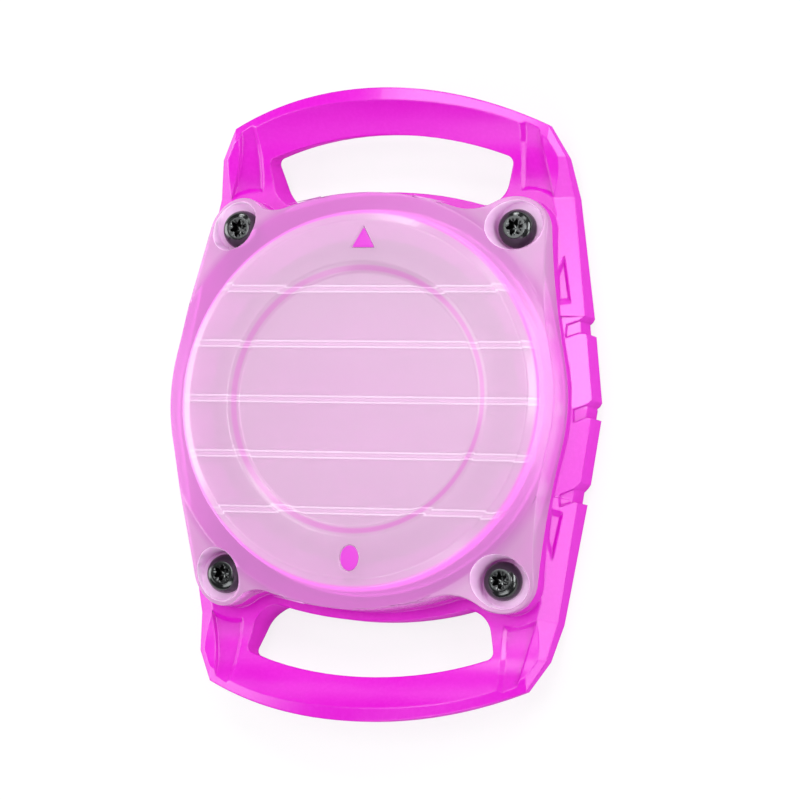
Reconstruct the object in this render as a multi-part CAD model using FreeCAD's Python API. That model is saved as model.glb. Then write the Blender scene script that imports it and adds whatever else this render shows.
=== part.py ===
import FreeCAD, Part
import math
import os

# Watch-style holder for a coin-shaped tracker tag, in millimetres.
# It lies on its flat outer face: +Z points out of the lid, +Y to the loop at the triangle mark,
# and the origin is the middle of the outer face.

# The tag that the case carries, and the room around it
tag_diameter = 31.9
tag_thickness = 8.0
tag_side_clearance = 0.35
tag_top_clearance = 0.1

# Walls around the tag, from the pocket outwards
collar_wall = 2.75
collar_clearance = 0.15
lid_wall = 1.3
crown_wall = 1.8
flank_width = 1.9
pocket_radius = tag_diameter / 2 + tag_side_clearance
collar_radius = pocket_radius + collar_wall
lid_bore_radius = collar_radius + collar_clearance
lid_bulge_radius = lid_bore_radius + lid_wall
lid_crown_y = lid_bore_radius + crown_wall
base_half_width = lid_bulge_radius + flank_width

# Strap loops: the ledge below the lid's crown, the slot and the bar beyond it
crown_ledge = 0.9
slot_height = 5.9
loop_bar_width = 4.3
slot_half_width = 13.25
slot_body_y = lid_crown_y + crown_ledge
slot_outer_y = slot_body_y + slot_height
base_half_length = slot_outer_y + loop_bar_width

# Strap loops: the slot's outline, from its outer corners round to the body
slot_corner_drop = 2.5
slot_corner_fillet = 0.8
slot_bend_inset = 0.5
slot_bend_rise = 0.8
slot_mid_inset = 1.25
slot_mid_drop = 0.65
slot_inner_inset = 3.0
slot_inner_drop = 1.4
slot_draft_share = 0.14

# Strap loops: plan corners of the legs, from the slot's side and from the loop's end
leg_width = 5.4
leg_corner_drop = 6.7
loop_corner_width = 3.75
loop_corner_drop = 3.6
leg_corner_x = slot_half_width + leg_width
leg_corner_y = base_half_length - leg_corner_drop
loop_corner_x = slot_half_width + loop_corner_width
loop_corner_y = base_half_length - loop_corner_drop

# Strap loops: seen from the side they sweep up, hollow in front and straight behind, to a bevelled crest
leg_front_z = 4.1
leg_front_length = 2.4
loop_rise_gap = 0.1
loop_sweep_rise = 6.2
loop_tip_back_z = 5.9
loop_crest_inset = 1.35
loop_edge_z = 7.9
loop_edge_corner_z = 5.0
leg_front_y = slot_body_y - leg_front_length
loop_rise_y = slot_body_y + loop_rise_gap
loop_crest_y = base_half_length - loop_crest_inset

# Base: heights of the body, and the ridge line between its side wall and its bevelled flanks
floor_thickness = 1.2
seam_z = 6.0
deck_half_length = 13.0
foot_chamfer = 0.3
flank_break_inset = 1.2
flank_break_y = 9.3
ridge_mid_z = 3.7
ridge_break_z = 3.6
ridge_waist_drop = 0.4
ridge_waist_z = 2.4
ridge_corner_z = 3.9
flank_bevel_slope = 0.76
leg_bevel_slope = 0.9
flank_break_x = base_half_width - flank_break_inset
ridge_waist_y = slot_body_y - ridge_waist_drop

# Base: slanted grip notches across each flank
notch_pitch = 8.5
notch_width = 1.3
notch_mouth = 1.9
notch_depth = 0.55
notch_lean_share = 0.52
notch_reach = 1.7

# Base: the sunk wedge between the lid's straight side and the flank
wedge_depth = 0.5
wedge_wall_slope = 0.8
wedge_lid_slope = 4.0
wedge_tip_inset = 3.5
wedge_tip_y = 15.4
wedge_outer_inset = 2.5
wedge_outer_y = 10.5
wedge_inner_inset = 4.7
wedge_inner_y = 9.9

# Base: the sunk panel on each leg
panel_depth = 0.4
panel_wall_slope = 0.9
panel_outer_slope = 4.0
panel_end_slope = 1.7
panel_ear_gap = 1.1
panel_low_drop = 1.0
panel_inner_low = 0.7
panel_inner_high = 1.2
panel_inner_bow = 0.2
panel_inner_steps = 6
panel_outer_low = 4.65
panel_outer_high = 2.9
panel_outer_drop = 2.0
panel_end_outer = 2.6
panel_end_inner = 2.2

# Collar and seal between base and lid
collar_rise = 2.8
seal_cord = 1.5
seal_lid_clearance = 0.1
seal_seat_clearance = 0.05
seal_groove_height = 1.8
seal_lift = 1.3
collar_top_z = seam_z + collar_rise
seal_centre_z = seam_z + seal_lift

# Screws: a pattern on a circle outside the lid's bore
screw_standoff = 3.87
screw_angle = 49.92
screw_head_diameter = 3.95
screw_face_diameter = 2.4
screw_head_height = 1.5
screw_rim_height = 0.35
screw_diameter = 2.0
screw_length = 5.0
screw_tip_chamfer = 0.3
screw_hole_clearance = 0.15
drive_outer_diameter = 1.7
drive_lobe_diameter = 0.46
drive_core_diameter = 1.1
drive_depth = 0.7
drive_lobes = 6
screw_circle_radius = lid_bore_radius + screw_standoff
screw_x = screw_circle_radius * math.cos(math.radians(screw_angle))
screw_y = screw_circle_radius * math.sin(math.radians(screw_angle))

# Threaded inserts in the base's bosses
insert_wall = 0.54
insert_length = 3.0
insert_sink = 0.2
insert_seat_clearance = 0.03
insert_bore_clearance = 0.06
insert_groove_depth = 0.25
insert_groove_height = 0.6
drill_clearance = 0.2
drill_floor = 1.0
insert_radius = screw_diameter / 2 + insert_bore_clearance + insert_wall

# Lid: plan outline of tangent arcs, and the recesses around the screws
lid_crown_radius = 28.0
ear_wall = 1.3
crown_valley_radius = 4.0
side_valley_radius = 90.0
ear_flange = 0.95
recess_clearance = 0.5
recess_flare = 0.25
recess_mouth_rise = 2.6
recess_offset = 0.25
ear_radius = screw_head_diameter / 2 + ear_wall

# Lid: roof, disc and shoulder
roof_thickness = 1.4
rib_height = 0.35
rib_pitch = 5.6
rib_pairs = 2
rib_width = 0.6
dish_depth = 0.5
dish_radius = 12.75
dish_rim_width = 1.1
disc_edge_inset = 0.3
disc_edge_width = 0.9
disc_edge_drop = 0.65
shoulder_break_gap = 0.6
shoulder_break_drop = 0.35
shoulder_slope = 0.65
mark_inset = 2.05
mark_depth = 0.3
triangle_side = 2.5
oval_width = 2.0
oval_length = 2.6
disc_edge_radius = lid_bore_radius - disc_edge_inset
disc_flat_radius = disc_edge_radius - disc_edge_width
mark_radius = disc_flat_radius - mark_inset
shoulder_break_radius = lid_bulge_radius + shoulder_break_gap

# One overrun for every cut that passes a surface
overrun = 1.0

# Heights that follow from the tag
rib_bottom_z = floor_thickness + tag_thickness + tag_top_clearance
ceiling_z = rib_bottom_z + rib_height
dish_z = ceiling_z + roof_thickness
lid_top_z = dish_z + dish_depth
shoulder_z = lid_top_z - disc_edge_drop
shoulder_break_z = shoulder_z - shoulder_break_drop
recess_floor_z = seam_z + ear_flange
above_all = lid_top_z + overrun

corners = {
    "top_left": (-1, 1),
    "top_right": (1, 1),
    "bottom_left": (-1, -1),
    "bottom_right": (1, -1),
}


def vec(x, y, z=0):
    return FreeCAD.Vector(x, y, z)


def wire_of(start, steps):
    """A closed wire: each step is an end point, or a (middle, end) pair for an arc."""
    edges = []
    here = start
    for step in steps:
        if isinstance(step, tuple):
            middle, end = step
            edges.append(Part.Arc(here, middle, end).toShape())
        else:
            end = step
            edges.append(Part.makeLine(here, end))
        here = end
    return Part.Wire(edges)


def prism(wire, low, high):
    face = Part.Face(wire)
    face.translate(vec(0, 0, low))
    return face.extrude(vec(0, 0, high - low))


def cylinder(radius, low, high, x=0, y=0):
    return Part.makeCylinder(radius, high - low, vec(x, y, low))


def cone(low_radius, high_radius, low, high, x=0, y=0):
    return Part.makeCone(low_radius, high_radius, high - low, vec(x, y, low))


def turned(profile):
    """Revolves a closed profile of (radius, height) points about Z."""
    points = [vec(r, 0, z) for r, z in profile]
    face = Part.Face(Part.makePolygon(points + points[:1]))
    return face.revolve(vec(0, 0), vec(0, 0, 1), 360)


def mirrored(shape, sign_x, sign_y):
    if sign_x < 0:
        shape = shape.mirror(vec(0, 0), vec(1, 0))
    if sign_y < 0:
        shape = shape.mirror(vec(0, 0), vec(0, 1))
    return shape


def joined(shapes):
    first, *rest = shapes
    return first.multiFuse(rest).removeSplitter() if rest else first


def circle_meet(centre_a, radius_a, centre_b, radius_b, side):
    """The point at both distances from two centres, on the given side of the line a to b."""
    line = centre_b - centre_a
    along = (radius_a ** 2 - radius_b ** 2 + line.Length ** 2) / (2 * line.Length)
    across = math.sqrt(radius_a ** 2 - along ** 2)
    unit = line / line.Length
    return centre_a + unit * along + vec(-unit.y, unit.x) * (side * across)


def lid_wire(z):
    """The lid's outline: crowns, ears and bulges, with a tangent arc in each valley."""
    bulge = vec(0, 0)
    crown = vec(0, lid_crown_y - lid_crown_radius)
    ear = vec(screw_x, screw_y)
    valley = circle_meet(crown, lid_crown_radius + crown_valley_radius,
                         ear, ear_radius + crown_valley_radius, 1)
    flank = circle_meet(bulge, lid_bulge_radius + side_valley_radius,
                        ear, ear_radius + side_valley_radius, -1)

    def on(centre, radius, towards):
        line = towards - centre
        return centre + line * (radius / line.Length)

    crown_end = on(crown, lid_crown_radius, valley)
    ear_start = on(ear, ear_radius, valley)
    ear_end = on(ear, ear_radius, flank)
    bulge_end = on(bulge, lid_bulge_radius, flank)
    valley_mid = on(valley, crown_valley_radius, crown_end + ear_start - valley)
    flank_mid = on(flank, side_valley_radius, ear_end + bulge_end - flank)
    ear_mid = on(ear, ear_radius, ear + ear)

    def at(point, sign_x, sign_y):
        return vec(point.x * sign_x, point.y * sign_y, z)

    def quarter(sign_x, sign_y, outward):
        run = [(valley_mid, ear_start), (ear_mid, ear_end), (flank_mid, bulge_end)]
        if not outward:
            run = [(flank_mid, ear_end), (ear_mid, ear_start), (valley_mid, crown_end)]
        return [(at(m, sign_x, sign_y), at(e, sign_x, sign_y)) for m, e in run]

    right = vec(lid_bulge_radius, 0, z)
    left = vec(-lid_bulge_radius, 0, z)
    top = vec(0, lid_crown_y, z)
    bottom = vec(0, -lid_crown_y, z)
    steps = quarter(1, 1, True)
    steps.append((right, at(bulge_end, 1, -1)))
    steps += quarter(1, -1, False)
    steps.append((bottom, at(crown_end, -1, -1)))
    steps += quarter(-1, -1, True)
    steps.append((left, at(bulge_end, -1, 1)))
    steps += quarter(-1, 1, False)
    steps.append((top, at(crown_end, 1, 1)))
    return wire_of(at(crown_end, 1, 1), steps)


def base_plan(inset, z):
    """The base's plan outline at a height, drawn in by the inset on its flanks and ends."""
    quarter = [(flank_break_x, flank_break_y), (leg_corner_x, leg_corner_y), (loop_corner_x, loop_corner_y)]
    rise = [vec(x - inset, y, z) for x, y in quarter]
    up_left = [vec(-p.x, p.y, z) for p in rise]
    down_left = [vec(-p.x, -p.y, z) for p in rise]
    down_right = [vec(p.x, -p.y, z) for p in rise]
    tip = base_half_length - inset
    steps = rise[1:] + [(vec(0, tip, z), up_left[-1])]
    steps += up_left[-2::-1] + [vec(inset - base_half_width, 0, z)]
    steps += down_left + [(vec(0, -tip, z), down_right[-1])]
    steps += down_right[-2::-1] + [vec(base_half_width - inset, 0, z), rise[0]]
    return wire_of(rise[0], steps)


def front_height(y):
    """Height of the loop's hollow front: an arc that leaves the leg level and rises to the loop's end."""
    run = base_half_length - loop_rise_y
    radius = (run ** 2 + loop_sweep_rise ** 2) / (2 * loop_sweep_rise)
    along = max(y - loop_rise_y, 0)
    return leg_front_z + radius - math.sqrt(radius ** 2 - along ** 2)


def base_side(drop):
    """The base seen from the side: flat foot, deck, and loops that sweep up."""
    end = base_half_length
    half = (loop_rise_y + end) / 2
    front = leg_front_z - drop

    def at(y, z):
        return vec(-base_half_width - overrun, y, z)

    steps = [at(lid_crown_y, 0), at(end, loop_tip_back_z), at(end, front_height(end) - drop)]
    steps += [(at(half, front_height(half) - drop), at(loop_rise_y, front)), at(leg_front_y, front)]
    steps += [at(deck_half_length, seam_z - drop), at(-deck_half_length, seam_z - drop)]
    steps += [at(-leg_front_y, front), at(-loop_rise_y, front)]
    steps += [(at(-half, front_height(half) - drop), at(-end, front_height(end) - drop))]
    steps += [at(-end, loop_tip_back_z), at(-lid_crown_y, 0)]
    face = Part.Face(wire_of(at(-lid_crown_y, 0), steps))
    return face.extrude(vec(2 * (base_half_width + overrun), 0, 0))


def crest_cut():
    """Takes off the +Y loop's outer edge: all outside a cone that leans with the loop's sweep."""
    edge = vec(0, base_half_length, loop_edge_z)
    fall = edge - vec(0, loop_corner_y, loop_edge_corner_z)
    slope = fall / fall.Length
    axis = vec(0, -slope.z, slope.y)
    radius = (loop_corner_x ** 2 + fall.Length ** 2) / (2 * fall.Length)
    crest = vec(0, loop_crest_y, front_height(loop_crest_y)) - edge
    draw_in = -crest.dot(slope) / crest.dot(axis)
    reach = loop_crest_y - loop_rise_y
    foot = edge - slope * radius - axis * reach
    height = 2 * reach
    keep = Part.makeCone(radius + draw_in * reach, radius - draw_in * reach, height, foot, axis)
    return Part.makeCylinder(radius + reach, height, foot, axis).cut(keep)


def bevel_cut(low, high, slope, inset):
    """Takes off what lies above a plane that rises inward from the ridge line low to high."""
    reach = base_half_width
    run = high - low
    inward = vec(-run.y, run.x, 0)
    inward = inward / inward.Length
    rise = vec(0, 0, slope * reach)
    shift = inward * inset
    outer = -inward * overrun - vec(0, 0, slope * overrun)
    points = [low + shift + outer, high + shift + outer]
    points += [high + shift + inward * reach + rise, low + shift + inward * reach + rise]
    face = Part.Face(Part.makePolygon(points + points[:1]))
    return face.extrude(vec(0, 0, above_all))


def ridge_points():
    """The ridge between side wall and bevel, from the middle of the +X flank up to the loop's corner."""
    waist_share = (ridge_waist_y - flank_break_y) / (leg_corner_y - flank_break_y)
    waist_x = flank_break_x + (leg_corner_x - flank_break_x) * waist_share
    return [
        vec(base_half_width, 0, ridge_mid_z),
        vec(flank_break_x, flank_break_y, ridge_break_z),
        vec(waist_x, ridge_waist_y, ridge_waist_z),
        vec(leg_corner_x, leg_corner_y, ridge_corner_z),
        vec(loop_corner_x, loop_corner_y, loop_edge_corner_z),
    ]


def bevel_height(x, y):
    """Height of the leg's bevel: the plane that rises inward from the ridge beside the lid's side."""
    low, high = ridge_points()[1:3]
    run = high - low
    inward = vec(-run.y, run.x)
    climb = inward / inward.Length + vec(0, 0, leg_bevel_slope)
    normal = run.cross(climb)
    return low.z - (normal.x * (x - low.x) + normal.y * (y - low.y)) / normal.z


def base_body(inset):
    """The moulding without its lid seat: plan and side profiles crossed, flanks bevelled."""
    foot = Part.makeLoft([base_plan(inset + foot_chamfer, 0), base_plan(inset, foot_chamfer)], True, True)
    upper = prism(base_plan(inset, 0), foot_chamfer, above_all)
    body = joined([foot, upper]).common(base_side(inset))
    middle, flank_break, waist, corner, loop_corner = ridge_points()
    cuts = [crest_cut(), mirrored(crest_cut(), 1, -1)]
    for sign_x, sign_y in corners.values():
        for low, high, slope in ((middle, flank_break, flank_bevel_slope),
                                 (flank_break, waist, leg_bevel_slope),
                                 (waist, corner, leg_bevel_slope),
                                 (corner, loop_corner, leg_bevel_slope)):
            cuts.append(mirrored(bevel_cut(low, high, slope, inset), sign_x, sign_y))
    return body.cut(cuts)


def slot_wire(z):
    """The strap slot in the +Y loop at a height: towards the back its ends close in and its bar thins."""
    draft = (leg_front_z - z) * slot_draft_share

    def at(x, y):
        return vec(x - draft * math.copysign(1, x), y, z)

    corner_y = slot_outer_y - slot_corner_drop + draft
    bend_x = slot_half_width - slot_bend_inset
    bend_y = slot_body_y + slot_bend_rise
    mid_x = slot_half_width - slot_mid_inset
    mid_y = slot_body_y - slot_mid_drop
    inner_x = slot_half_width - slot_inner_inset
    inner_y = slot_body_y - slot_inner_drop
    right = at(slot_half_width, corner_y)
    steps = [(vec(0, slot_outer_y + draft, z), at(-slot_half_width, corner_y)), at(-bend_x, bend_y)]
    steps.append((at(-mid_x, mid_y), at(-inner_x, inner_y)))
    steps.append((vec(0, slot_body_y, z), at(inner_x, inner_y)))
    steps.append((at(mid_x, mid_y), at(bend_x, bend_y)))
    steps.append(right)
    return wire_of(right, steps)


def slot_tool():
    slot = Part.makeLoft([slot_wire(-overrun), slot_wire(above_all)], True, True)
    corner_low = slot_outer_y - slot_corner_drop - slot_corner_fillet
    corner = [edge for edge in slot.Edges
              if edge.BoundBox.ZLength > overrun and edge.CenterOfMass.y > corner_low]
    return slot.makeFillet(slot_corner_fillet, corner)


def notch_tool(centre_y):
    """A slanted bar across the +X flank, flared where it leaves the side wall."""
    half = notch_width / 2
    flank_lean = (base_half_width - flank_break_x) / flank_break_y
    ridge = base_half_width - abs(centre_y) * flank_lean

    def at(x, side):
        return vec(x, centre_y + (x - ridge) * notch_lean_share + side)

    neck = ridge - notch_depth
    outer = ridge + notch_depth
    inner = ridge - notch_reach
    flare = notch_mouth - half
    points = [at(outer, flare), at(neck, half), at(inner, half)]
    points += [at(inner, -half), at(neck, -half), at(outer, -flare)]
    return prism(Part.makePolygon(points + points[:1]), -overrun, above_all)


def hollow(points, slopes):
    """The space inside walls that slope down from an outline given anticlockwise, one slope to a side."""
    walls = []
    for low, high, slope in zip(points, points[1:] + points[:1], slopes):
        spare = (high - low) * (base_half_width / low.distanceToPoint(high))
        walls.append(bevel_cut(low - spare, high + spare, -slope, 0))
    space, *rest = walls
    for wall in rest:
        space = space.common(wall)
    return space


def wedge_tool():
    outline = [(base_half_width - wedge_inner_inset, wedge_inner_y)]
    outline += [(base_half_width - wedge_outer_inset, wedge_outer_y)]
    outline += [(base_half_width - wedge_tip_inset, wedge_tip_y)]
    slopes = [wedge_wall_slope, wedge_wall_slope, wedge_lid_slope]
    return hollow([vec(x, y, bevel_height(x, y)) for x, y in outline], slopes)


def panel_tool():
    """The leg's panel: its inner wall slightly bowed, and round the lid's ear a wall concentric with it."""
    low = vec(slot_half_width + panel_inner_low, slot_body_y - panel_low_drop)
    high = vec(slot_half_width + panel_inner_high, base_half_length - panel_end_inner)
    outline = [low, vec(slot_half_width + panel_outer_low, slot_body_y - panel_outer_drop)]
    outline += [vec(slot_half_width + panel_outer_high, base_half_length - panel_end_outer), high]
    slopes = [panel_wall_slope, panel_outer_slope, panel_end_slope, panel_wall_slope]
    for step in range(1, panel_inner_steps):
        share = step / panel_inner_steps
        bow = 4 * panel_inner_bow * share * (1 - share)
        outline.append(high + (low - high) * share - vec(bow, 0))
        slopes.append(panel_wall_slope)
    space = hollow([vec(p.x, p.y, front_height(p.y)) for p in outline], slopes)
    wall_radius = ear_radius + panel_ear_gap
    wall_top_z = seam_z + overrun
    low_radius = wall_radius + leg_front_z / panel_wall_slope
    high_radius = wall_radius - (wall_top_z - leg_front_z) / panel_wall_slope
    return space.cut(cone(low_radius, high_radius, 0, wall_top_z, screw_x, screw_y))


def sunk(tools, depth, signs):
    """Each tool at its mirrored places, down to the depth below the moulding's surface."""
    core = base_body(depth)
    return [mirrored(tool, *sign).cut(core) for tool in tools for sign in signs]


def base():
    body = base_body(0)
    sides = [(1, 1), (-1, 1)]
    cuts = sunk([notch_tool(notch_pitch * step) for step in (-1, 0, 1)], notch_depth, sides)
    cuts += sunk([wedge_tool()], wedge_depth, corners.values())
    cuts += sunk([panel_tool()], panel_depth, corners.values())
    body = body.cut(cuts)
    collar = cylinder(collar_radius, seam_z - overrun, collar_top_z)
    seat = prism(lid_wire(0), foot_chamfer, seam_z)
    body = joined([body, seat, collar])
    slot = slot_tool()
    cuts = [slot, mirrored(slot, 1, -1), cylinder(pocket_radius, floor_thickness, above_all)]
    groove_low = seal_centre_z - seal_groove_height / 2
    groove = cylinder(lid_bore_radius, groove_low, groove_low + seal_groove_height)
    groove_floor = lid_bore_radius - seal_lid_clearance - seal_cord - seal_seat_clearance
    cuts.append(groove.cut(cylinder(groove_floor, 0, above_all)))
    insert_top = seam_z - insert_sink
    for sign_x, sign_y in corners.values():
        x = screw_x * sign_x
        y = screw_y * sign_y
        seat_radius = insert_radius + insert_seat_clearance
        cuts.append(cylinder(seat_radius, insert_top - insert_length, above_all, x, y))
        cuts.append(cylinder(screw_diameter / 2 + drill_clearance, drill_floor, above_all, x, y))
    return body.cut(cuts)


def lid():
    profile = [(0, seam_z), (0, dish_z), (dish_radius, dish_z), (dish_radius + dish_rim_width, lid_top_z)]
    profile += [(disc_flat_radius, lid_top_z), (disc_edge_radius, shoulder_z)]
    profile += [(shoulder_break_radius, shoulder_break_z)]
    reach = screw_circle_radius + ear_radius
    fall = (reach - shoulder_break_radius) * shoulder_slope
    profile += [(reach, shoulder_break_z - fall), (reach, seam_z)]
    cap = prism(lid_wire(0), seam_z, above_all).common(turned(profile))
    bore = cylinder(lid_bore_radius, seam_z - overrun, ceiling_z)
    ribs = []
    for step in range(-rib_pairs, rib_pairs + 1):
        length = 2 * lid_bore_radius
        rib = Part.makeBox(length, rib_width, rib_height + overrun,
                           vec(-lid_bore_radius, step * rib_pitch - rib_width / 2, rib_bottom_z))
        ribs.append(rib)
    cuts = [bore.cut(ribs)]
    for sign_x, sign_y in corners.values():
        x = screw_x * sign_x
        y = screw_y * sign_y
        mouth_z = recess_floor_z + recess_mouth_rise
        out_x = x + recess_offset * sign_x
        out_y = y + recess_offset * sign_y
        floor_radius = screw_head_diameter / 2 + recess_clearance
        mouth_radius = floor_radius + recess_flare
        cuts.append(cone(floor_radius, mouth_radius, recess_floor_z, mouth_z, out_x, out_y))
        cuts.append(cylinder(mouth_radius, mouth_z, above_all, out_x, out_y))
        cuts.append(cylinder(screw_diameter / 2 + screw_hole_clearance, 0, above_all, x, y))
    tip = triangle_side / math.sqrt(3)
    half = triangle_side / 2
    foot_y = mark_radius - tip / 2
    triangle = [vec(0, mark_radius + tip), vec(-half, foot_y), vec(half, foot_y)]
    cuts.append(prism(Part.makePolygon(triangle + triangle[:1]), lid_top_z - mark_depth, above_all))
    ellipse = Part.Ellipse(vec(0, 0), oval_length / 2, oval_width / 2).toShape()
    ellipse.rotate(vec(0, 0), vec(0, 0, 1), 90)
    ellipse.translate(vec(0, -mark_radius))
    cuts.append(prism(Part.Wire(ellipse), lid_top_z - mark_depth, above_all))
    return cap.cut(cuts)


def seal_ring():
    outer = lid_bore_radius - seal_lid_clearance
    return Part.makeTorus(outer - seal_cord / 2, seal_cord / 2, vec(0, 0, seal_centre_z))


def screw():
    """A pan-head screw on the Z axis with its head seated in the lid's recess."""
    top = recess_floor_z + screw_head_height
    tip = recess_floor_z - screw_length
    head = screw_head_diameter / 2
    shank = screw_diameter / 2
    profile = [(0, tip), (shank - screw_tip_chamfer, tip), (shank, tip + screw_tip_chamfer)]
    profile += [(shank, recess_floor_z), (head, recess_floor_z), (head, recess_floor_z + screw_rim_height)]
    profile += [(screw_face_diameter / 2, top), (0, top)]
    body = turned(profile)
    floor = top - drive_depth
    drive = [cylinder(drive_core_diameter / 2, floor, above_all)]
    reach = (drive_outer_diameter - drive_lobe_diameter) / 2
    for lobe in range(drive_lobes):
        angle = 2 * math.pi * lobe / drive_lobes
        drive.append(cylinder(drive_lobe_diameter / 2, floor, above_all,
                              reach * math.cos(angle), reach * math.sin(angle)))
    return body.cut(joined(drive))


def insert():
    """A threaded insert on the Z axis, waisted by one groove that the moulding grips."""
    top = seam_z - insert_sink
    low = top - insert_length
    body = cylinder(insert_radius, low, top)
    groove_low = (low + top - insert_groove_height) / 2
    groove = cylinder(insert_radius + overrun, groove_low, groove_low + insert_groove_height)
    waist = cylinder(insert_radius - insert_groove_depth, 0, above_all)
    bore = cylinder(screw_diameter / 2 + insert_bore_clearance, 0, above_all)
    return body.cut(groove.cut(waist)).cut(bore)


def placed(shape, sign_x, sign_y):
    copy = shape.copy()
    copy.translate(vec(screw_x * sign_x, screw_y * sign_y))
    return copy


os.makedirs("parts", exist_ok=True)
parts = {"base": base(), "lid": lid(), "seal_ring": seal_ring()}
for corner, signs in corners.items():
    parts["screw_" + corner] = placed(screw(), *signs)
    parts["insert_" + corner] = placed(insert(), *signs)
for node, shape in parts.items():
    solids = shape.Solids
    box = shape.BoundBox
    print(node, len(solids), shape.isValid(), round(shape.Volume, 2),
          [round(value, 2) for value in (box.XMin, box.XMax, box.YMin, box.YMax, box.ZMin, box.ZMax)])
    solid = solids[0] if len(solids) == 1 else shape
    solid.exportStep("parts/" + node + ".step")
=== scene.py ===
# %% [markdown]
# # A tracker tag holder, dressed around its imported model
# The real object is a watch-style case: a magenta moulded base with a strap loop at each end, and a
# frosted clear lid that four black screws hold down over a sealing ring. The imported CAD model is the
# frame. It is loaded first, so that every new piece can be placed by its measures. Blender counts in
# metres, so a size in millimetres is multiplied by mm.

# %% Load the frame
import math

import bmesh
import bpy
import numpy as np
from mathutils import Matrix, Vector


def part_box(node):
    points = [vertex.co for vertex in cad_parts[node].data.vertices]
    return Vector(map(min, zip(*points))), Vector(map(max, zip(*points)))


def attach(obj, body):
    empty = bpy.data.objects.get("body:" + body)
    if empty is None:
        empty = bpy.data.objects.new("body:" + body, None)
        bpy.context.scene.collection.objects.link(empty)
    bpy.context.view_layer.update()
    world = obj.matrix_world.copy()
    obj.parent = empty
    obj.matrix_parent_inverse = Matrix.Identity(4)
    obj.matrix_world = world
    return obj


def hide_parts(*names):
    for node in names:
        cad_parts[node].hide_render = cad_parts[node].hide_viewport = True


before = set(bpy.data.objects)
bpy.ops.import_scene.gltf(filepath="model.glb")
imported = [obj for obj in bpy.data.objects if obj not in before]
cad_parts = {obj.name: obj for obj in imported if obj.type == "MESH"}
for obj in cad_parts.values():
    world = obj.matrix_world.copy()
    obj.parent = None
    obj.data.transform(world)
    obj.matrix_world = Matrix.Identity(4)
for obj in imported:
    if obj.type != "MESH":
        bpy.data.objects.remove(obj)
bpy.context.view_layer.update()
scene = bpy.context.scene
mm = 0.001
print("nodes:", sorted(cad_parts))

# %% [markdown]
# ## Camera
# A product photographer stands far off with a long lens, so that the round lid stays round. The view
# could be set by eye, but three angles and one target say it exactly: the camera leans to the right,
# a little below the middle, and is rolled slightly.

# %% Camera
lean_right = math.radians(19.85)
lean_down = math.radians(5.10)
roll = math.radians(2.485)
target = Vector((2.674, 0.430, 5.9)) * mm
distance = 397.4 * mm
focal_length = 177.03
film_width = 36

towards = Vector((math.sin(lean_right) * math.cos(lean_down), -math.sin(lean_down),
                  math.cos(lean_right) * math.cos(lean_down)))
level = Vector((math.cos(lean_right), 0, -math.sin(lean_right)))
upright = towards.cross(level)
right = level * math.cos(roll) + upright * math.sin(roll)
up = upright * math.cos(roll) - level * math.sin(roll)

lens = bpy.data.cameras.new("camera")
lens.lens = focal_length
lens.sensor_width = film_width
lens.clip_start = 10 * mm
camera = bpy.data.objects.new("camera", lens)
turn = Matrix((right, up, towards)).transposed().to_4x4()
camera.matrix_world = Matrix.Translation(target + towards * distance) @ turn
scene.collection.objects.link(camera)
scene.camera = camera
print("camera at", [round(v, 4) for v in camera.location])

# %% [markdown]
# ## Light
# The case lies on a white sheet among softboxes, as on a product table. One large lamp could light it
# evenly, but its bevels would look flat, so each lamp has a task. Right and low right light the bevelled
# flank. Top, top right and low top give the loops' crests and the right ears their pale sheen. Over and
# zenith whiten the lid, and a small near card at the low left draws a pale line on its left rim. Left and
# front fill in, and a weak world does the rest.

# %% Softboxes and world
def softbox(name, direction, wide, tall, radiance, far=0.60, lean=0):
    """A rectangular lamp in a direction from the target, turned to face it and leaned by some degrees.
    A lamp of this radiance needs 4 times its radiance times its area, in Blender's watts."""
    lamp = bpy.data.lights.new("softbox_" + name, "AREA")
    lamp.shape = "RECTANGLE"
    lamp.size = wide
    lamp.size_y = tall
    lamp.energy = 4 * radiance * wide * tall
    box = bpy.data.objects.new("softbox_" + name, lamp)
    aim = Vector(direction).normalized()
    place = Matrix.Translation(target + aim * far)
    facing = aim.to_track_quat("Z", "Y").to_matrix().to_4x4()
    box.matrix_world = place @ facing @ Matrix.Rotation(math.radians(lean), 4, "Z")
    box.visible_camera = False
    scene.collection.objects.link(box)


softbox("right", (0.85, 0.24, 0.47), wide=0.28, tall=0.15, radiance=6.4, far=0.50, lean=-26)
softbox("low_right", (0.88, -0.28, 0.39), wide=0.16, tall=0.16, radiance=3.4, far=0.50)
softbox("top", (0.07, 0.60, 0.795), wide=0.50, tall=0.105, radiance=6.0)
softbox("top_right", (0.38, 0.77, 0.51), wide=0.16, tall=0.16, radiance=2.6)
softbox("low_top", (-0.20, 0.93, 0.29), wide=0.16, tall=0.09, radiance=9.0)
softbox("over", (-0.21, 0.24, 0.945), wide=0.25, tall=0.23, radiance=1.8)
softbox("zenith", (-0.02, 0.12, 0.99), wide=0.08, tall=0.18, radiance=8.0)
softbox("left", (-0.84, -0.10, 0.53), wide=0.36, tall=0.36, radiance=2.8)
softbox("low_left", (-0.99, 0.06, 0.115), wide=0.14, tall=0.056, radiance=4.0, far=0.20)
softbox("front", (0.05, -0.74, 0.67), wide=0.40, tall=0.28, radiance=3.0)

world = bpy.data.worlds.new("studio")
world.use_nodes = True
sky = world.node_tree.nodes["Background"]
sky.inputs["Color"].default_value = (0.16, 0.16, 0.17, 1)
scene.world = world
scene.view_settings.view_transform = "Standard"

# %% [markdown]
# ## Floor
# The case lies on a plain white sheet, large enough to fill every view. It could be a box, but one face
# is enough. It lies a hair below the case, so that the two don't share a plane.

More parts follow.
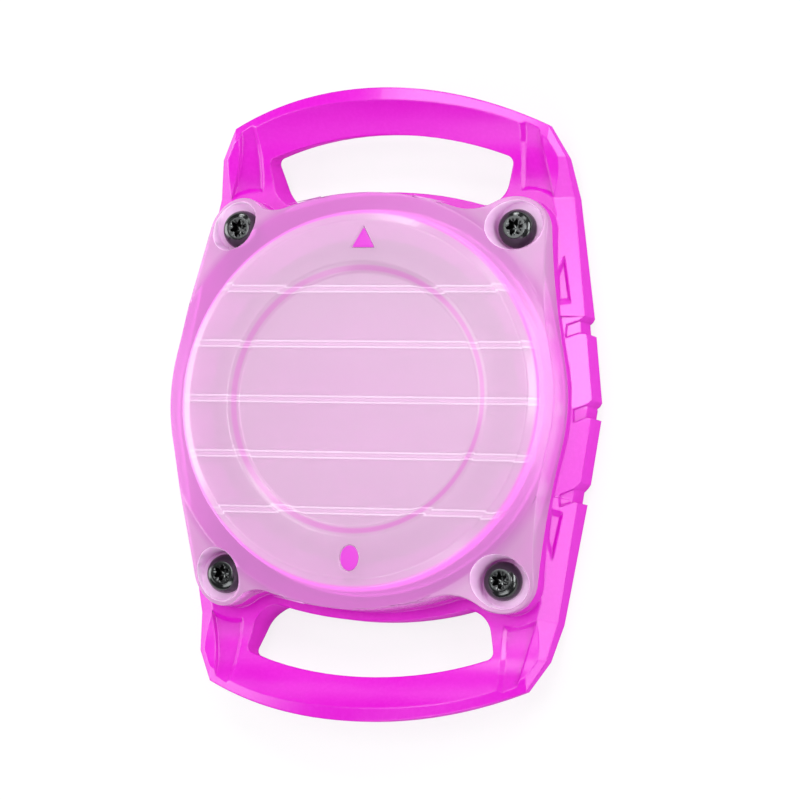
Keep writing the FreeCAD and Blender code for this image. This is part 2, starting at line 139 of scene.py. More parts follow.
# %% The sheet
floor_half = 3.0
floor_drop = 0.02 * mm
sheet_corners = np.array([(-1, -1, 0), (1, -1, 0), (1, 1, 0), (-1, 1, 0)]) * floor_half
floor_mesh = bpy.data.meshes.new("floor")
floor_mesh.from_pydata(sheet_corners.tolist(), [], [(0, 1, 2, 3)])
floor = bpy.data.objects.new("floor", floor_mesh)
floor.location.z = -floor_drop
scene.collection.objects.link(floor)
print("floor:", 2 * floor_half, "m wide")

# %% [markdown]
# ## The sheet's finish
# Paper is matte, so its shader has no gloss. A finish is a small network of nodes, and written out with
# Blender's own calls each node takes several lines. Three helpers keep it short: one makes a material
# with plain values on its shader, one adds a node, and one links two sockets.

# %% Helpers for materials
def new_material(name, **sockets):
    """A node material, with plain values set on its Principled shader's own sockets."""
    material = bpy.data.materials.new(name)
    material.use_nodes = True
    shader = material.node_tree.nodes["Principled BSDF"]
    for key, value in sockets.items():
        shader.inputs[key.replace("_", " ")].default_value = value
    return material, material.node_tree, shader


def add(tree, kind, **values):
    """A node with its plain properties set."""
    node = tree.nodes.new(kind)
    for key, value in values.items():
        setattr(node, key, value)
    return node


def join(tree, source, out, node, socket):
    """A link from one node's output to another's input."""
    tree.links.new(source.outputs[out], node.inputs[socket])


white_sheet, tree, shader = new_material("white_sheet", Base_Color=(0.9, 0.9, 0.9, 1), Roughness=0.9,
                                         Specular_IOR_Level=0.0)
floor_mesh.materials.append(white_sheet)
print("nodes of a new material:", [n.name for n in tree.nodes])

# %% [markdown]
# ## The sheet's glow
# Lamps alone would leave the sheet grey, or burn out the case. So it glows by itself for most of its share
# where the camera sees it, and for half of it where plastic and metal mirror it or let it through. The
# rest is lit by the lamps and keeps a soft shadow. From below the sheet isn't there, so that the case's
# outer face can be looked at.

# %% Glow of the sheet
seen_glow = 0.8
mirrored_glow = 0.5

rays = add(tree, "ShaderNodeLightPath")
mirrored = add(tree, "ShaderNodeMath", operation="MAXIMUM")
mirrored_share = add(tree, "ShaderNodeMath", operation="MULTIPLY")
mirrored_share.inputs[1].default_value = mirrored_glow
glow_share = add(tree, "ShaderNodeMath", operation="MULTIPLY_ADD")
glow_share.inputs[1].default_value = seen_glow
join(tree, rays, "Is Glossy Ray", mirrored, 0)
join(tree, rays, "Is Transmission Ray", mirrored, 1)
join(tree, mirrored, 0, mirrored_share, 0)
join(tree, rays, "Is Camera Ray", glow_share, 0)
join(tree, mirrored_share, 0, glow_share, 2)

glow = add(tree, "ShaderNodeEmission")
shown = add(tree, "ShaderNodeMixShader")
join(tree, glow_share, 0, shown, 0)
join(tree, shader, "BSDF", shown, 1)
join(tree, glow, "Emission", shown, 2)

underside = add(tree, "ShaderNodeNewGeometry")
nothing = add(tree, "ShaderNodeBsdfTransparent")
one_sided = add(tree, "ShaderNodeMixShader")
join(tree, underside, "Backfacing", one_sided, 0)
join(tree, shown, 0, one_sided, 1)
join(tree, nothing, "BSDF", one_sided, 2)
join(tree, one_sided, 0, tree.nodes["Material Output"], "Surface")
print("sheet's glow: seen", seen_glow, "mirrored", mirrored_glow)

# %% [markdown]
# ## Moulded grain
# A mould's spark-eroded wall leaves a fine pebbled skin, and metal parts have a similar one from their
# coating. It could be painted from an image, but a noise read in object coordinates has its real size,
# about a third of a millimetre, on every piece. One node group makes it, and each finish takes its share.

# %% The grain group
def map_range(tree, start, end, to_start=0.0, to_end=1.0):
    """A Map Range node that carries one span of values to another, in a straight line."""
    node = add(tree, "ShaderNodeMapRange")
    ends = {"From Min": start, "From Max": end, "To Min": to_start, "To Max": to_end}
    for socket, value in ends.items():
        node.inputs[socket].default_value = value
    return node


def grain_noise(group, ins, place, scale, detail):
    """A noise in object coordinates, whose scale is one of the group's inputs."""
    noise = add(group, "ShaderNodeTexNoise")
    noise.inputs["Detail"].default_value = detail
    join(group, place, "Object", noise, "Vector")
    join(group, ins, scale, noise, "Scale")
    return noise


def grain_group():
    """Two noises: a fine pebble for height and gloss, and a broad cloud for the colour's slow drift."""
    group = bpy.data.node_groups.new("moulded_grain", "ShaderNodeTree")
    face = group.interface
    for name, value in (("Pebbles per metre", 2800.0), ("Clouds per metre", 60.0),
                        ("Least roughness", 0.3), ("Most roughness", 0.45)):
        socket = face.new_socket(name, in_out="INPUT", socket_type="NodeSocketFloat")
        socket.default_value = value
    for name in ("Height", "Speckle", "Cloud", "Roughness"):
        face.new_socket(name, in_out="OUTPUT", socket_type="NodeSocketFloat")
    ins = add(group, "NodeGroupInput")
    outs = add(group, "NodeGroupOutput")
    place = add(group, "ShaderNodeTexCoord")
    pebble = grain_noise(group, ins, place, "Pebbles per metre", 2.0)
    cloud = grain_noise(group, ins, place, "Clouds per metre", 1.0)
    speckle = map_range(group, 0.42, 0.66)
    gloss = map_range(group, 0.3, 0.7)
    join(group, pebble, "Fac", speckle, "Value")
    join(group, pebble, "Fac", gloss, "Value")
    join(group, ins, "Least roughness", gloss, "To Min")
    join(group, ins, "Most roughness", gloss, "To Max")
    join(group, pebble, "Fac", outs, "Height")
    join(group, speckle, "Result", outs, "Speckle")
    join(group, cloud, "Fac", outs, "Cloud")
    join(group, gloss, "Result", outs, "Roughness")
    return group


moulded_grain = grain_group()
print("grain group:", [s.name for s in moulded_grain.interface.items_tree])

# %% [markdown]
# ## The base's colour
# The base is moulded in one saturated magenta, which a fine speckle lightens a little. A single colour
# would look like a drawing, so two close tones are mixed by the grain's speckle, and the gloss goes with
# the same grain.

# %% Magenta plastic
def grained(tree, shader, least, most):
    """The grain group in a material, driving its roughness between two values."""
    grain = add(tree, "ShaderNodeGroup", node_tree=moulded_grain)
    grain.inputs["Least roughness"].default_value = least
    grain.inputs["Most roughness"].default_value = most
    join(tree, grain, "Roughness", shader, "Roughness")
    return grain


def two_tones(tree, grain, mask, first, second):
    """A colour that goes from the first tone to the second by one of the grain's masks."""
    tones = add(tree, "ShaderNodeMix", data_type="RGBA")
    tones.inputs["A"].default_value = first
    tones.inputs["B"].default_value = second
    join(tree, grain, mask, tones, "Factor")
    return tones


magenta = (0.64, 0.002, 0.545, 1)
magenta_pale = (0.66, 0.005, 0.565, 1)
base_plastic, tree, shader = new_material("base_plastic", Specular_IOR_Level=0.65)
grain = grained(tree, shader, 0.235, 0.265)
tones = two_tones(tree, grain, "Speckle", magenta, magenta_pale)
join(tree, tones, "Result", shader, "Base Color")
print("base colour:", magenta, "to", magenta_pale)

# %% [markdown]
# ## The base's edges and walls
# The base's edges are rounded by a quarter of a millimetre, and its upright walls are duller than what
# faces up. A bevel on the mesh could round the edges, but a CAD node's mesh stays as it is, so a Bevel
# node bends the normals round them. The walls are found by how steep the normal is.

# %% Edges and walls of the base
edge_round = 0.25 * mm
slope_start = 0.45
slope_end = 0.15
wall_roughness = 0.65

edges = add(tree, "ShaderNodeBevel", samples=8)
edges.inputs["Radius"].default_value = edge_round
join(tree, edges, "Normal", shader, "Normal")
place = add(tree, "ShaderNodeTexCoord")
facing = add(tree, "ShaderNodeSeparateXYZ")
steep = map_range(tree, slope_start, slope_end, 0.0, wall_roughness)
coarser = add(tree, "ShaderNodeMath", operation="ADD")
join(tree, place, "Normal", facing, "Vector")
join(tree, facing, "Z", steep, "Value")
join(tree, grain, "Roughness", coarser, 0)
join(tree, steep, "Result", coarser, 1)
join(tree, coarser, 0, shader, "Roughness")

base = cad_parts["base"]
base.data.materials.clear()
base.data.materials.append(base_plastic)
print("base finish:", base_plastic.name, len(tree.nodes), "nodes")

# %% [markdown]
# ## The lid's plastic
# The lid is clear stock with a frosted haze: part of the light scatters at its skin, and the rest goes
# through to the magenta below. It could be a clear glass with a white film over it, but one shader that
# lets just over half of the light through does both, and the grain's bump makes its skin uneven.

# %% Frosted plastic
def pebbled(tree, shader, grain, depth, strength):
    """The grain's height as a bump of a depth in metres."""
    bump = add(tree, "ShaderNodeBump")
    bump.inputs["Distance"].default_value = depth
    bump.inputs["Strength"].default_value = strength
    join(tree, grain, "Height", bump, "Height")
    join(tree, bump, "Normal", shader, "Normal")


pebble_depth = 0.01 * mm
lid_plastic, tree, shader = new_material("lid_plastic", IOR=1.45, Transmission_Weight=0.55)
grain = grained(tree, shader, 0.16, 0.22)
pebbled(tree, shader, grain, pebble_depth, 0.05)
print("lid finish:", lid_plastic.name)

# %% [markdown]
# ## Rings of haze
# The haze isn't even. The disc is whitish, the step round its dish carries a mauve band of painted shade,
# the disc's rim a paler tone that is a painted highlight, and the shoulder outside it lets most magenta
# through. Each face could have a colour of its own, but the lid is round, so one colour ramp over the
# distance from its middle, in millimetres, holds all rings at once.

# %% Rings of the lid
ramp_reach = 25
frost = (0.69, 0.55, 0.67, 1)
dim = (0.665, 0.515, 0.645, 1)
# A paler tone at the disc's rim: a painted highlight.
rim_painted_highlight = (0.75, 0.60, 0.73, 1)
# A mauve tone on the step round the dish: painted shade.
step_painted_shade = (0.72, 0.36, 0.67, 1)
pink = (0.92, 0.34, 0.87, 1)
pale = (0.99, 0.60, 0.95, 1)
ring_tones = ((12.9, frost), (13.05, step_painted_shade), (13.40, step_painted_shade), (13.60, frost), (15.0, dim), (17.8, dim),
              (18.2, rim_painted_highlight), (18.6, rim_painted_highlight), (18.85, pink), (20.8, pink), (22.0, pale))

place = add(tree, "ShaderNodeTexCoord")
flatten = add(tree, "ShaderNodeVectorMath", operation="MULTIPLY")
flatten.inputs[1].default_value = (1, 1, 0)
radius = add(tree, "ShaderNodeVectorMath", operation="LENGTH")
zones = map_range(tree, 0.0, ramp_reach * mm)
rings = add(tree, "ShaderNodeValToRGB")
ramp = rings.color_ramp.elements
ramp.remove(ramp[1])
for ring_radius, tone in ring_tones:
    stop = ramp.new(ring_radius / ramp_reach)
    stop.color = tone
ramp[0].color = frost
join(tree, place, "Object", flatten, 0)
join(tree, flatten, "Vector", radius, 0)
join(tree, radius, "Value", zones, "Value")
join(tree, zones, "Result", rings, "Fac")
print("lid's rings:", len(ramp), "stops")

# %% [markdown]
# ## Haze and light in the lid
# A broad cloud dims the haze a little here and there. Rays on their way to a lamp pass the lid as through
# a grey filter: Blender would otherwise count it as solid for them, and the pocket below would be dark.

# %% Haze and light
haze = add(tree, "ShaderNodeMix", data_type="RGBA", blend_type="MULTIPLY")
haze.inputs["B"].default_value = (0.93, 0.90, 0.93, 1)
join(tree, grain, "Cloud", haze, "Factor")
join(tree, rings, "Color", haze, "A")
join(tree, haze, "Result", shader, "Base Color")
clear = add(tree, "ShaderNodeBsdfTransparent")
clear.inputs["Color"].default_value = (0.82, 0.79, 0.82, 1)
rays = add(tree, "ShaderNodeLightPath")
lets_lamps = add(tree, "ShaderNodeMixShader")
join(tree, rays, "Is Shadow Ray", lets_lamps, 0)
join(tree, shader, "BSDF", lets_lamps, 1)
join(tree, clear, "BSDF", lets_lamps, 2)
join(tree, lets_lamps, 0, tree.nodes["Material Output"], "Surface")
print("lid finish:", lid_plastic.name, len(tree.nodes), "nodes")

# %% [markdown]
# ## Lid
# The solid is right, but its edges are knife sharp, and a moulding's are rounded by a tenth or two of a
# millimetre. Bent normals are enough on the base. Light goes through the lid, so its edges must be really
# round: its mesh is copied and merged, its flat faces are joined, and a Bevel modifier rounds what is left.

# %% A rounded copy of the lid
smooth_limit = math.radians(35)
merge_distance = 0.002 * mm
flat_limit = math.radians(0.6)
edge_limit = math.radians(20)
lid_round = 0.15 * mm


def piece_from(name, mesh, material, body):
    """An object for a mesh, smooth up to a limit angle, that rides on a body."""
    mesh.shade_smooth()
    mesh.set_sharp_from_angle(angle=smooth_limit)
    mesh.materials.clear()
    mesh.materials.append(material)
    piece = bpy.data.objects.new(name, mesh)
    scene.collection.objects.link(piece)
    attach(piece, body)
    return piece


def rounded_copy(node, name, material, body, width):
    """The node's own surface with its sharp edges rounded by a width in metres."""
    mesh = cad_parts[node].data.copy()
    mesh.name = name
    shell = bmesh.new()
    shell.from_mesh(mesh)
    bmesh.ops.remove_doubles(shell, verts=shell.verts, dist=merge_distance)
    bmesh.ops.dissolve_limit(shell, angle_limit=flat_limit, verts=shell.verts, edges=shell.edges)
    shell.to_mesh(mesh)
    shell.free()
    for attribute in [a for a in mesh.attributes if a.name == "custom_normal"]:
        mesh.attributes.remove(attribute)
    piece = piece_from(name, mesh, material, body)
    round_off = piece.modifiers.new("rounded_edges", "BEVEL")
    round_off.width = width
    round_off.segments = 2
    round_off.limit_method = "ANGLE"
    round_off.angle_limit = edge_limit
    round_off.use_clamp_overlap = False
    round_off.harden_normals = True
    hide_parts(node)
    return piece


lid_cap = rounded_copy("lid", "lid_cap", lid_plastic, "lid", lid_round)
print(lid_cap.name, len(lid_cap.data.vertices), "points", len(lid_cap.data.polygons), "faces")

# %% [markdown]
# ## The screw wells' finish
# Each ear of the lid has a round well for a screw. Its skin is too coarse to see through, and light
# spreads inside the plastic. A white paint would be too dead, so the wells have a pale finish that scatters
# light below the surface. A helper makes it, because most small finishes are made in the same way.

# %% Finish of the wells
def clouded(name, first, second, least, most, strength=0.1, depth=pebble_depth, clouds=60.0, **sockets):
    """A finish in two tones that follow the grain's cloud, with the grain's roughness and bump."""
    material, tree, shader = new_material(name, **sockets)
    grain = grained(tree, shader, least, most)
    grain.inputs["Clouds per metre"].default_value = clouds
    pebbled(tree, shader, grain, depth, strength)
    tones = two_tones(tree, grain, "Cloud", first, second)
    join(tree, tones, "Result", shader, "Base Color")
    return material


well_frost = clouded("well_frost", (0.92, 0.56, 0.88, 1), (0.95, 0.62, 0.91, 1), 0.3, 0.45,
                     Subsurface_Weight=0.8, Subsurface_Scale=2 * mm, Subsurface_Radius=(1, 1, 1))
print("finish:", well_frost.name)

# %% [markdown]
# ## Faces of the wells
# The wells' faces could be picked by number, but their place tells them more safely: they are near a
# screw's axis, and either upright or on the well's floor, where the head of the screw sits.

# %% Faces of the wells
corners = ("top_left", "top_right", "bottom_left", "bottom_right")
well_reach = 3.0
shank_length = 5.0
upright_limit = 0.3
floor_slack = 0.1


def middle_of(node):
    """The middle of a node's box in plan, in millimetres."""
    low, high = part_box(node)
    return np.array([(low[0] + high[0]) / 2, (low[1] + high[1]) / 2, 0]) / mm


def read_faces(mesh, what):
    """A vector of each face, such as its centre or its normal, as rows of three."""
    rows = np.zeros(3 * len(mesh.polygons))
    mesh.polygons.foreach_get(what, rows)
    return rows.reshape(-1, 3)


well_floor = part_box("screw_top_left")[0][2] / mm + shank_length
centres = read_faces(lid_cap.data, "center") / mm
is_upright = np.abs(read_faces(lid_cap.data, "normal")[:, 2]) < upright_limit
on_floor = np.abs(centres[:, 2] - well_floor) < floor_slack
above_floor = centres[:, 2] > well_floor - floor_slack
screw_axes = np.array([middle_of("screw_" + corner) for corner in corners])
gaps = np.linalg.norm(centres[:, None, :2] - screw_axes[None, :, :2], axis=2).min(1)
in_well = (gaps < well_reach) & (is_upright | on_floor) & above_floor
lid_cap.data.materials.append(well_frost)
lid_cap.data.polygons.foreach_set("material_index", in_well.astype(np.int32))
print("well faces:", int(in_well.sum()), "of", len(in_well), "floor at", well_floor)

# %% [markdown]
# ## Surfaces from arrays
# Screws, inserts and marks are turned forms: rings of points round an axis, one above the other. They
# could be modelled from cylinders, but as arrays every radius and height is a formula. The angles are the
# same on all of them, so they are worked out once.

# %% Rings
ring_steps = 72
turn_angles = np.linspace(0, 2 * np.pi, ring_steps, endpoint=False)
around = turn_angles[None, :]


def per_ring(*values):
    """One value for each ring, as a column."""
    return np.array(values)[:, None]


def ring_points(radius, height):
    """Points round the Z axis: radius times the cosine and the sine of each angle, at a height."""
    radius, height, angle = np.broadcast_arrays(radius, height, around)
    return np.stack([radius * np.cos(angle), radius * np.sin(angle), height], -1)


print("points round a ring:", ring_steps)

# %% [markdown]
# ## From a grid to a piece
# Rings make a grid of points, on which every face is the same four neighbours. So the faces can be worked
# out as arrays too. The helper closes the grid with a fan of triangles at each pole and turns its faces
# outwards.

# %% Grid helpers
def grid_faces(rows, columns, loop_rows):
    """Four-sided faces of a grid whose columns close on themselves, and its rows too if they loop."""
    last = rows if loop_rows else rows - 1
    row, column = np.meshgrid(np.arange(last), np.arange(columns), indexing="ij")
    below = (row + 1) % rows
    beside = (column + 1) % columns
    face_corners = ((row, column), (row, beside), (below, beside), (below, column))
    return np.stack([i * columns + j for i, j in face_corners], -1).reshape(-1, 4)


def grid_piece(name, points, material, body, poles=(), loop_rows=False):
    """A closed piece from a grid of points in millimetres: rows of rings, a pole at each open end."""
    rows, columns = points.shape[:2]
    verts = np.concatenate([points.reshape(-1, 3), np.reshape(poles, (-1, 3))]) * mm
    faces = grid_faces(rows, columns, loop_rows).tolist()
    ring = np.arange(columns)
    for index, start in zip(range(len(poles)), (0, (rows - 1) * columns)):
        pole = np.full(columns, rows * columns + index)
        faces += np.stack([start + ring, start + (ring + 1) % columns, pole], -1).tolist()
    mesh = bpy.data.meshes.new(name)
    mesh.from_pydata(verts, [], faces)
    shell = bmesh.new()
    shell.from_mesh(mesh)
    bmesh.ops.recalc_face_normals(shell, faces=shell.faces)
    shell.to_mesh(mesh)
    shell.free()
    return piece_from(name, mesh, material, body)


print("faces between two rings:", len(grid_faces(2, ring_steps, False)))

# %% [markdown]
# ## The screws' finish
# The screws are steel with a black oxide skin, worn a little lighter in clouds of two or three millimetres.
# The driver's recess is dull, and its steel is darker than the head's as painted shade, so that it looks
# almost black. Both could be one finish, but then the star would mirror the lamps as the head does, and
# hardly show.

# %% Black steel
metal_look = {"strength": 0.15, "clouds": 400.0, "Metallic": 1.0}
screw_steel = clouded("screw_steel", (0.05, 0.052, 0.052, 1), (0.10, 0.105, 0.105, 1), 0.14, 0.22,
                      **metal_look)
# The recess's steel is darker than the head's: painted shade in the star.
recess_painted_shade = clouded("recess_painted_shade", (0.012, 0.012, 0.012, 1), (0.02, 0.02, 0.02, 1), 0.5, 0.6,
                       **metal_look)
print("finishes:", screw_steel.name, recess_painted_shade.name)

# %% [markdown]
# ## Screw: recess and head
# Each screw is a black pan head with a six-lobed recess and an M2 thread. A lathe would turn the
# profile, a punch press the star and a die roll the thread. All three are one surface here: a ring per
# height, whose radius swells six times round in the recess. Sizes are in millimetres, heights above the
# case's outer face.

# %% Recess and head
screw_top = 8.45
star_waist = 0.52
lobe_swell = 0.33
lobes = 6
lobe_power = 1.2
face_edge = 1.25
face_fall = 0.055
head_edge = 1.975
head_low = 6.955


def recess_and_face():
    """Rings from the recess floor up its wall and over the flat face. The star's radius is its waist plus
    the lobes' swell times a power of a cosine hump that runs from 0 to 1 once for each lobe."""
    star = star_waist + lobe_swell * (0.5 + 0.5 * np.cos(lobes * around)) ** lobe_power
    share = per_ring(0.55, 0.90, 0.98, 1.0, 1.0, 1.03, 1.07)
    depth = per_ring(1.10, 1.06, 0.98, 0.85, 0.05, 0.012, 0.0)
    recess = ring_points(share * star, screw_top - depth)
    face_radius = per_ring(1.00, 1.12, 1.18, 1.22, face_edge)
    face_drop = per_ring(0, 0, 0.008, 0.025, face_fall)
    return [recess, ring_points(face_radius, screw_top - face_drop)]


def dome_and_rim():
    """Rings over the head. Along the dome the radius grows evenly with a share from 0 to 1, and the height
    falls by 0.42 times the share and 0.655 times its fourth power. The rim goes down and back in."""
    share = np.linspace(0.08, 1, 12)[:, None]
    height = screw_top - face_fall - 0.42 * share - 0.655 * share ** 4
    dome = ring_points(face_edge + (head_edge - face_edge) * share, height)
    rim_radius = per_ring(head_edge, head_edge, 1.96, 1.92, 1.04)
    return [dome, ring_points(rim_radius, per_ring(7.25, 7.03, 6.98, head_low, head_low))]


head_rings = recess_and_face() + dome_and_rim()
print("rings of the head:", sum(len(part) for part in head_rings))

# %% [markdown]
# ## Screw: thread
# The thread is a ridge that climbs 0.4 millimetres in a turn. It could be a separate ridge wound round a
# rod, but then it would only stick into the rod. Here the rod's own radius follows a triangle wave that
# depends on height and angle, so the surface stays in one piece.

# %% Thread
screw_tip = 1.95
recess_depth = 1.13
shank_radius = 1.0
thread_top = 6.85
thread_end = 2.26
thread_pitch = 0.4
thread_depth = 0.2
thread_fade = 0.3
rings_per_pitch = 8


def thread_wave(height):
    """A triangle wave that climbs one pitch in one turn: 0 on the crest, 1 in the root."""
    phase = (height / thread_pitch + around / (2 * np.pi)) % 1
    return 1 - np.abs(2 * phase - 1)


def shank_and_point():
    """Rings down the thread: the shank's radius less the thread's depth times its wave, which fades in
    below the head. The point tapers."""
    height = np.arange(thread_top, thread_end, -thread_pitch / rings_per_pitch)[:, None]
    fade = np.clip((thread_top - height) / thread_fade, 0, 1)
    shank = ring_points(shank_radius - thread_depth * fade * thread_wave(height), height)
    return [shank, ring_points(per_ring(0.86, 0.70), per_ring(2.12, screw_tip))]


screw_rings = np.concatenate(head_rings + shank_and_point())
screw_poles = np.array([(0, 0, screw_top - recess_depth), (0, 0, screw_tip)])
print("screw rings:", screw_rings.shape)

# %% [markdown]
# ## Four screws in place
# The four screws are the same, but nobody stops the driver at the same angle, so each star has a turn of
# its own. The surface is turned about its axis and moved onto the node's middle, and the first faces of
# the grid, those of the recess, take the dull, darker steel that paints shade into the star.

# %% Screws
star_turns = (0.30, 0.12, 0.45, 0.62)
recess_bands = 5


def screw_piece(corner, star_turn):
    """A screw at a corner, its star turned by an angle as the driver left it."""
    node = "screw_" + corner
    c, s = math.cos(star_turn), math.sin(star_turn)
    spin = np.array([(c, s, 0), (-s, c, 0), (0, 0, 1)])
    place = middle_of(node)
    piece = grid_piece("pan_head_" + corner, screw_rings @ spin + place, screw_steel, node,
                       screw_poles + place)
    in_recess = np.arange(len(piece.data.polygons)) < recess_bands * ring_steps
    piece.data.materials.append(recess_painted_shade)
    piece.data.polygons.foreach_set("material_index", in_recess.astype(np.int32))
    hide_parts(node)
    return piece


screws = [screw_piece(corner, star_turn) for corner, star_turn in zip(corners, star_turns)]
print("screws:", [piece.name for piece in screws])

# %% [markdown]
# ## Insert: knurl and bore
# Brass inserts are knurled outside, so that the plastic grips them, and threaded inside. The knurl is
# two crossed families of slanting ridges, the higher of the two at every point. It could be a bump in the
# finish, but the inserts are seen from close by when the lid is off. The surface loops: up the bore, over
# the top, down the knurl and back under.

# %% Insert surface
insert_low = 2.8
insert_high = 5.8
insert_radius = 1.6
bore_radius = 1.06
bore_thread = 0.1
bore_mouth = bore_radius + 0.12
knurl_depth = 0.09
knurl_teeth = 22
knurl_lean = 1.1


def knurl_wave(height):
    """The higher of two triangle waves that slant up to the left and up to the right."""
    teeth = knurl_teeth * around / (2 * np.pi)
    first = np.abs(2 * ((teeth + height / knurl_lean) % 1) - 1)
    second = np.abs(2 * ((teeth - height / knurl_lean) % 1) - 1)
    return np.maximum(first, second)


def knurl_band(start, end):
    """Rings down one knurled band: the insert's radius less the knurl's depth times its wave."""
    height = np.linspace(start, end, 12)[:, None]
    return ring_points(insert_radius - knurl_depth * knurl_wave(height), height)


def insert_points():
    """Rings round a loop: bore with its thread, top, upper knurl, groove, lower knurl, bottom. The bore's
    radius grows by its thread's depth where the thread's wave is low."""
    climb = np.arange(insert_low + 0.12, insert_high - 0.11, thread_pitch / rings_per_pitch)[:, None]
    bore = ring_points(bore_radius + bore_thread * (1 - thread_wave(climb)), climb)
    top_height = per_ring(insert_high, insert_high, insert_high - 0.02)
    top = ring_points(per_ring(bore_mouth, 1.40, 1.50), top_height)
    upper = knurl_band(insert_high - 0.08, 4.65)
    groove = ring_points(per_ring(1.37, 1.35, 1.35, 1.37), per_ring(4.60, 4.55, 4.05, 4.00))
    lower = knurl_band(3.95, insert_low + 0.08)
    bottom_height = per_ring(insert_low + 0.02, insert_low, insert_low)
    bottom = ring_points(per_ring(1.50, 1.40, bore_mouth), bottom_height)
    return np.concatenate([bore, top, upper, groove, lower, bottom])


insert_rings = insert_points()
print("insert rings:", insert_rings.shape)

# %% [markdown]
# ## Four inserts in place
# Turned brass is warm and bright, and never quite even. The finish could be one plain yellow metal,
# but the helper for small finishes gives it slightly darker clouds as well. The four inserts are one
# surface, moved onto the middle of each node.

# %% Inserts in brass
insert_brass = clouded("insert_brass", (0.66, 0.46, 0.17, 1), (0.80, 0.60, 0.26, 1), 0.22, 0.34,
                       **metal_look)
for corner in corners:
    node = "insert_" + corner
    piece = grid_piece("knurled_" + corner, insert_rings + middle_of(node), insert_brass, "base",
                       loop_rows=True)
    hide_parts(node)
    print(piece.name, len(piece.data.polygons), "faces")

# %% [markdown]
# ## Outlines of the alignment marks
# A triangle and an oval are sunk in the lid's disc as plain alignment marks. Each outline could be
# drawn as a curve, but as a radius round its middle it fits the same rings as the other pieces:
# for the oval an ellipse, for the triangle a soft maximum of its three sides, which rounds its corners.

# %% Outlines of the marks
triangle_inner = 0.68
triangle_sharpness = 16
oval_half_width = 0.96
oval_half_length = 1.26


def triangle_outline(inner_radius, sharpness):
    """Radius = inner radius over the soft maximum of the direction's share along the three sides'
    normals: the sum of the shares' high powers, brought back by the same root."""
    normals = np.radians(np.array([270, 30, 150]))[:, None]
    along = np.clip(np.cos(around - normals), 0, None)
    return inner_radius / (along ** sharpness).sum(0) ** (1 / sharpness)


def oval_outline(half_width, half_length):
    """Radius of an ellipse: 1 over the length of the direction measured in its half axes."""
    return 1 / np.hypot(np.cos(turn_angles) / half_width, np.sin(turn_angles) / half_length)


triangle = triangle_outline(triangle_inner, triangle_sharpness)
oval = oval_outline(oval_half_width, oval_half_length)
print("marks reach", round(triangle.max(), 2), "and", round(oval.max(), 2), "mm")

# %% [markdown]
# ## Paint in the marks
# Both marks are filled with magenta paint. A flat picture would do from above only, so each fill is a thin
# plate with a rounded edge that lies on the mark's floor, and rides on the lid.

# %% Mark fills
mark_depth = 0.3
mark_y = 15.95
paint_lift = 0.004
paint_thickness = 0.14
mark_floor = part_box("lid")[1][2] / mm - mark_depth
mark_paint = clouded("mark_paint", (0.58, 0.030, 0.52, 1), (0.62, 0.036, 0.56, 1), 0.35, 0.5)


def fill_piece(name, outline, y):
    """A plate on the mark's floor: rings at shares of the outline, from the top's middle to the bottom."""
    low = mark_floor + paint_lift
    high = mark_floor + paint_thickness
    share = per_ring(0.5, 0.93, 0.985, 1.0, 1.0, 0.5)
    height = per_ring(high, high, high - 0.012, high - 0.04, low, low)
    middle = np.array([0, y, 0])
    poles = np.array([(0, y, high), (0, y, low)])
    return grid_piece(name, ring_points(share * outline[None, :], height) + middle, mark_paint, "lid",
                      poles)


fills = [fill_piece("triangle_fill", triangle, mark_y), fill_piece("oval_fill", oval, -mark_y)]
print("marks:", [piece.name for piece in fills])

# %% [markdown]
# ## Rib lines
# Five ribs stiffen the lid's roof from below. Where each one grows out of the roof, its two rounded
# corners show through the haze as a pair of pale lines with a darker band between. Here the pale lines are
# painted highlights and the band is painted shade. Stripes painted on the surface would lie on top of the
# roof. Each line is a fine pale thread in the roof just above the corner: a small ellipse carried along the
# chord, drawn to nothing at both ends.

# %% Thread in the roof
roof_low = 9.65
roof_lift = 0.02
chord_radius = 19.0
taper_length = 0.5


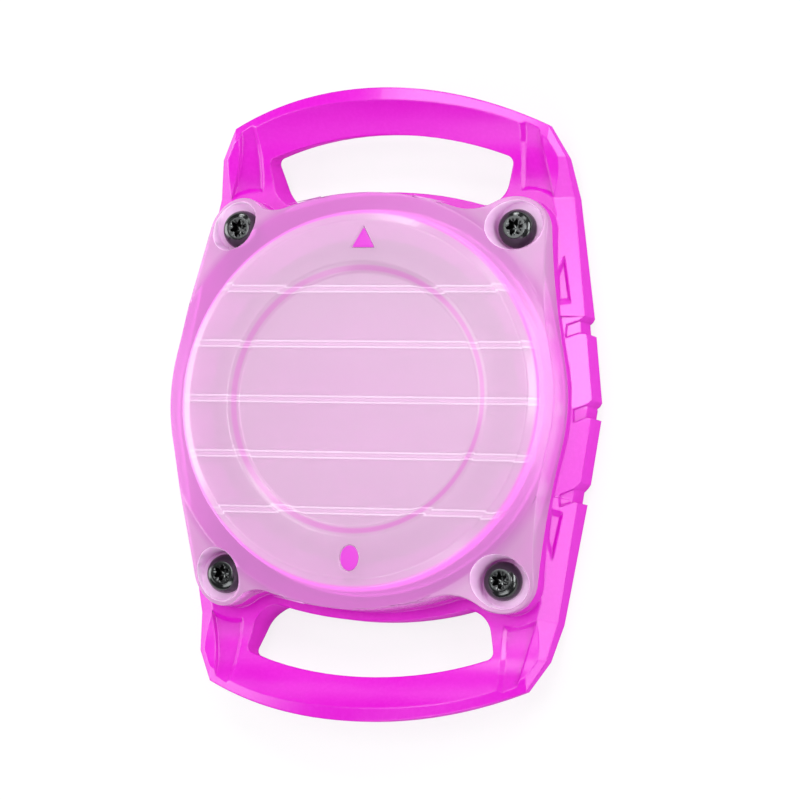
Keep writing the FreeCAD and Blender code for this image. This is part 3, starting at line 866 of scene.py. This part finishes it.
def thread_points(y, half_width, half_height):
    """Rings along X at one Y: an ellipse that shrinks by a square root over the taper at each end."""
    reach = math.sqrt(chord_radius ** 2 - y ** 2)
    z = roof_low + roof_lift + half_height
    along = reach * np.sin(np.linspace(-np.pi / 2, np.pi / 2, 40))[1:-1, None]
    taper = np.sqrt(np.clip((reach - np.abs(along)) / taper_length, 0, 1))
    angle = np.linspace(0, 2 * np.pi, 10, endpoint=False)[None, :]
    x, angle = np.broadcast_arrays(along, angle)
    sideways = y + half_width * taper * np.cos(angle)
    upwards = z + half_height * taper * np.sin(angle)
    return np.stack([x, sideways, upwards], -1), np.array([(-reach, y, z), (reach, y, z)])


# The pale threads are painted highlights of the rib corners, and the darker band is painted shade.
rib_painted_highlight = clouded("rib_painted_highlight", (0.88, 0.78, 0.87, 1), (0.91, 0.82, 0.90, 1), 0.35, 0.55)
rib_shade = clouded("rib_shade", (0.62, 0.36, 0.58, 1), (0.68, 0.42, 0.64, 1), 0.35, 0.55)
print("finishes:", rib_painted_highlight.name, rib_shade.name)

# %% [markdown]
# ## Five ribs in place
# The ribs are evenly spaced along Y, so their places are worked out and not listed. Each gets two lines of
# painted highlight, over its lower and its upper corner, and the band of painted shade between them.

# %% Rib threads
rib_pitch = 5.6
rib_half = 0.29
line_half_width = 0.10
line_half_height = 0.08
band_half_width = 0.17
band_half_height = 0.03

for count, middle_y in enumerate(rib_pitch * np.arange(-2, 3)):
    for side, name in ((-1, "lower"), (1, "upper")):
        points, poles = thread_points(middle_y + side * rib_half, line_half_width, line_half_height)
        grid_piece(f"rib_line_{count + 1}_{name}", points, rib_painted_highlight, "lid", poles)
    points, poles = thread_points(middle_y, band_half_width, band_half_height)
    grid_piece(f"rib_band_{count + 1}", points, rib_shade, "lid", poles)
    print("rib", count + 1, "at", round(middle_y, 2), "mm")

# %% [markdown]
# ## Sealing ring
# The ring is a plain cord of round section in its groove. A new mesh would have the same shape, so the
# CAD node stays and takes a soft pale silicone finish, with a coarser skin than the moulded plastics.

# %% Sealing ring's finish
seal_rubber = clouded("seal_rubber", (0.80, 0.66, 0.77, 1), (0.86, 0.74, 0.83, 1), 0.45, 0.6,
                      strength=0.2, depth=2 * pebble_depth)
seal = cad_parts["seal_ring"]
seal.data.materials.clear()
seal.data.materials.append(seal_rubber)
print("finishes:", [m.name for m in bpy.data.materials])
